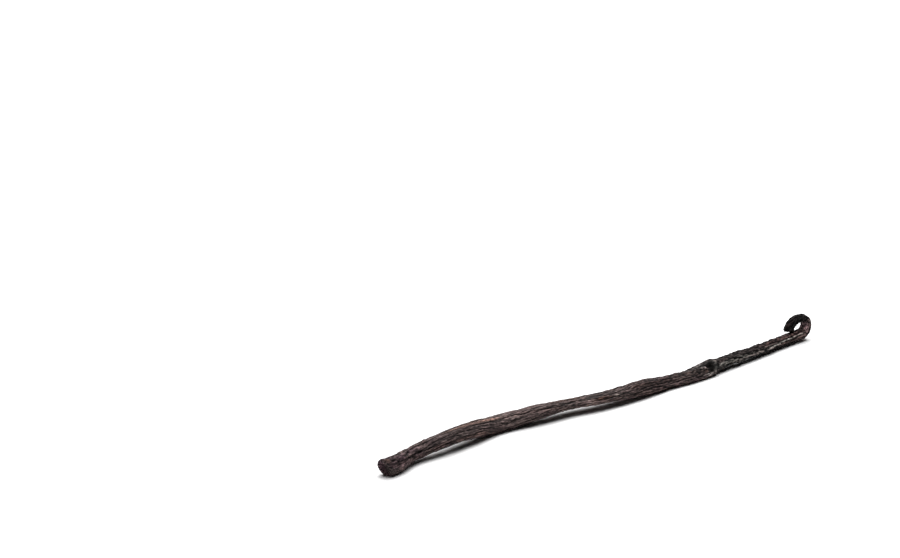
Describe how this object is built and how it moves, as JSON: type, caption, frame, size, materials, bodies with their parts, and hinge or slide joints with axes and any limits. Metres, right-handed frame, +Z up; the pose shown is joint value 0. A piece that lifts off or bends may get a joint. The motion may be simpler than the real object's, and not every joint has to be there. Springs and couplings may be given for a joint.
{
  "type": "vanilla pod",
  "caption": "Cured vanilla pod lying on its side: a long wrinkled seed pod with a blunt cupped blossom end, a knuckle and a thin stalk that curls back over itself.",
  "frame": {"origin": "on the surface the pod lies on, under the middle of its bounding box", "axes": "+X along the pod from the blossom end to the curled stalk, +Z up"},
  "size_m": [0.1878, 0.0144, 0.0096],
  "materials": {
    "pod_skin": "semi-matte dark grey-brown cured skin with long wrinkles"
  },
  "bodies": {
    "root": {"pod": "pod_skin"}
  },
  "joints": []
}
